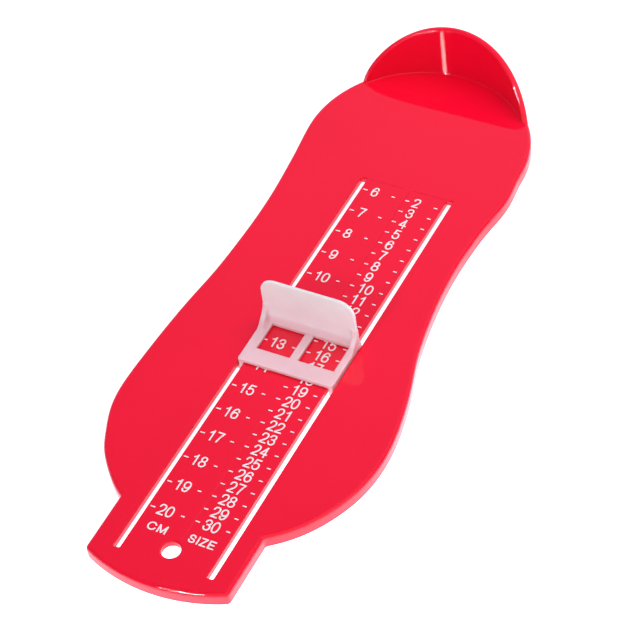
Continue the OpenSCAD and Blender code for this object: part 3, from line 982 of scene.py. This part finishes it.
def slider():
    V, faces, G = surface_nets(slider_field, (-18.6, 121.0, -4.3), (18.6, 141.6, 19.3), 0.16)
    co = np.c_[xy(V[:, :2]), V[:, 2] + TOP] * 0.001
    me = bpy.data.meshes.new("toe_stop_slider")
    me.from_pydata(co.tolist(), [], faces.tolist())
    me.validate()
    bm = bmesh.new()
    bm.from_mesh(me)
    bmesh.ops.recalc_face_normals(bm, faces=bm.faces)
    holes = sum(1 for e in bm.edges if len(e.link_faces) != 2)
    print(f"slider: {len(bm.verts)} points, {len(bm.faces)} faces, {holes} open edges")
    bm.to_mesh(me)
    bm.free()
    me.polygons.foreach_set("use_smooth", [True] * len(me.polygons))
    me.materials.append(NATURAL)
    me.update()
    ob = bpy.data.objects.new("toe_stop_slider", me)
    bpy.context.scene.collection.objects.link(ob)
    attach(ob, "toe_slider")
    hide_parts("slider")
    return ob


base_plate()
slider()
ticks("cm_tick_marks", "cm_ticks", range(6, 21), lambda n: n * 10, ((-12.5, 1.6), (-2.5, 1.2)))
numerals("cm_figures", "cm_numerals", range(6, 21), lambda n: n * 10, -9.0, -6.8)
ticks("size_tick_marks", "size_ticks", range(2, 31), lambda n: (n + 10) * 5, ((2.5, 1.4), (12.5, 1.3)))
numerals("size_figures", "size_numerals", range(2, 31), lambda n: (n + 10) * 5, 5.8, 8.4)
labels()

# ---------------------------------------------------------------- stage
scene = bpy.context.scene
scene.view_settings.view_transform = "Standard"
scene.view_settings.look = "None"


def plain_floor():
    me = bpy.data.meshes.new("floor")
    s = 3.0
    me.from_pydata([(-s, -s, 0), (s, -s, 0), (s, s, 0), (-s, s, 0)], [], [(0, 1, 2, 3)])
    ob = bpy.data.objects.new("floor", me)
    scene.collection.objects.link(ob)
    ob.location = (0, 0, -0.0001)
    m, nt, bsdf, coord = material("pale_floor")
    grain = noise(nt, coord, 60.0, 3.0, 0.5)
    col = ramp(nt, grain.outputs["Fac"], [(0.3, (0.29, 0.29, 0.29)), (0.7, (0.33, 0.33, 0.33))])
    nt.links.new(col.outputs["Color"], bsdf.inputs["Base Color"])
    bsdf.inputs["Roughness"].default_value = 0.6
    # lit more strongly to the front and right
    side = nt.nodes.new("ShaderNodeVectorMath")
    side.operation = "DOT_PRODUCT"
    side.inputs[1].default_value = (5.0, -1.6, 0.0)
    nt.links.new(coord.outputs["Object"], side.inputs[0])
    glow = ramp(nt, side.outputs["Value"], [
        (0.0, (0.385, 0.42, 0.47)), (0.20, (0.70, 0.767, 0.85)), (0.35, (0.79, 0.867, 0.96))])
    nt.links.new(glow.outputs["Color"], bsdf.inputs["Emission Color"])
    bsdf.inputs["Emission Strength"].default_value = 2.3
    me.materials.append(m)


def sky():
    w = bpy.data.worlds.new("studio")
    scene.world = w
    w.use_nodes = True
    nt = w.node_tree
    bg = nt.nodes["Background"]
    tc = nt.nodes.new("ShaderNodeTexCoord")

    def along(v, stops):
        dot = nt.nodes.new("ShaderNodeVectorMath")
        dot.operation = "DOT_PRODUCT"
        dot.inputs[1].default_value = [0.5 * c for c in v]
        nt.links.new(tc.outputs["Generated"], dot.inputs[0])
        up = nt.nodes.new("ShaderNodeMath")
        up.operation = "ADD"
        up.inputs[1].default_value = 0.5
        nt.links.new(dot.outputs["Value"], up.inputs[0])
        return ramp(nt, up.outputs["Value"], [(0.5 + 0.5 * p, c) for p, c in stops])

    broad = along((-0.75, 0.45, 0.30), [
        (-0.35, (0.10, 0.105, 0.12)), (0.20, (0.34, 0.35, 0.40)),
        (0.75, (0.42, 0.44, 0.62)), (0.92, (0.50, 0.52, 0.68))])
    local = along((0.60, 0.75, -0.27), [
        (-0.13, (0.55, 0.55, 0.55)), (0.11, (1.05, 1.05, 1.05)), (0.34, (1.45, 1.45, 1.45))])
    front = along((0.72, -0.55, 0.42), [(0.42, (0.0,)), (0.80, (0.62,))])
    mix = nt.nodes.new("ShaderNodeMix")
    mix.data_type = "RGBA"
    mix.blend_type = "MULTIPLY"
    mix.inputs["Factor"].default_value = 1.0
    nt.links.new(broad.outputs["Color"], mix.inputs[6])
    nt.links.new(local.outputs["Color"], mix.inputs[7])
    add = nt.nodes.new("ShaderNodeMix")
    add.data_type = "RGBA"
    add.blend_type = "ADD"
    add.inputs["Factor"].default_value = 1.0
    nt.links.new(mix.outputs[2], add.inputs[6])
    nt.links.new(front.outputs["Color"], add.inputs[7])
    nt.links.new(add.outputs[2], bg.inputs["Color"])
    bg.inputs["Strength"].default_value = 1.0


def lamp(name, azimuth, elevation, distance, width, height, radiance, roll=0.0, about=(0, 0.10, 0)):
    """An area light seen from a point; angles in degrees, azimuth from -Y toward +X."""
    a, e = math.radians(azimuth), math.radians(elevation)
    v = Vector((math.sin(a) * math.cos(e), -math.cos(a) * math.cos(e), math.sin(e)))
    d = bpy.data.lights.new(name, "AREA")
    d.shape = "RECTANGLE"
    d.size = 2 * distance * math.tan(math.radians(width) / 2)
    d.size_y = 2 * distance * math.tan(math.radians(height) / 2)
    d.energy = radiance * math.pi * d.size * d.size_y
    ob = bpy.data.objects.new(name, d)
    scene.collection.objects.link(ob)
    ob.location = Vector(about) + v * distance
    ob.rotation_euler = (v.to_track_quat("Z", "Y") @ Matrix.Rotation(math.radians(roll), 3, "Z").to_quaternion()).to_euler()
    return ob


plain_floor()
sky()
def only_on(light, *names):
    group = bpy.data.collections.new(light.name + "_receivers")
    for n in names:
        group.objects.link(bpy.data.objects[n])
    light.light_linking.receiver_collection = group


# the key, and its shape as it shows in the gloss of the plate
lamp("key", -10.5, 36.4, 8.0, 6.0, 6.0, 48.0).visible_glossy = False
for name, azimuth, elevation, width, height, radiance in (
        ("shine_top", -10.8, 38.1, 3.1, 1.9, 700.0),
        ("shine_mid", -11.3, 36.8, 2.5, 0.7, 60.0),
        ("shine_low", -11.9, 35.8, 2.3, 1.2, 7.0),
        ("shine_foot", -12.5, 34.95, 2.4, 0.5, 330.0),
        ("strip", -8.0, 32.0, 22.0, 1.6, 160.0)):
    shine = lamp(name, azimuth, elevation, 8.0, width, height, radiance)
    shine.visible_diffuse = False
    only_on(shine, "plate_moulding")
# broad soft light, which leaves no shine of its own
for name, azimuth, elevation, distance, width, radiance in (
        ("soft_front", -25.0, 60.0, 2.0, 55.0, 0.45), ("soft_back", 141.0, 68.0, 0.9, 40.0, 3.5)):
    lamp(name, azimuth, elevation, distance, width, width, radiance).visible_glossy = False

# more of the key reaches the pale slider, which scatters it inside
fill = lamp("slider_fill", -12.0, 26.0, 1.0, 40.0, 40.0, 1.1, about=(0, -0.018, 0.01))
fill.visible_glossy = False
only_on(fill, "toe_stop_slider")

# ---------------------------------------------------------------- camera
right = Vector((0.886273, 0.450111, -0.109176))
down = Vector((0.264895, -0.685961, -0.677708))
ahead = Vector((-0.379935, 0.571714, -0.727181))
cam = bpy.data.cameras.new("camera")
cam.sensor_fit = "HORIZONTAL"
cam.sensor_width = 36.0
cam.lens = 2358.28 / 640 * 36.0
cam.clip_start = 0.01
cam.clip_end = 50.0
camera = bpy.data.objects.new("camera", cam)
scene.collection.objects.link(camera)
rot = Matrix((right, -down, -ahead)).transposed().to_4x4()
camera.matrix_world = Matrix.Translation((0.276924, -0.420282, 0.531962)) @ rot
scene.camera = camera

bpy.context.view_layer.update()
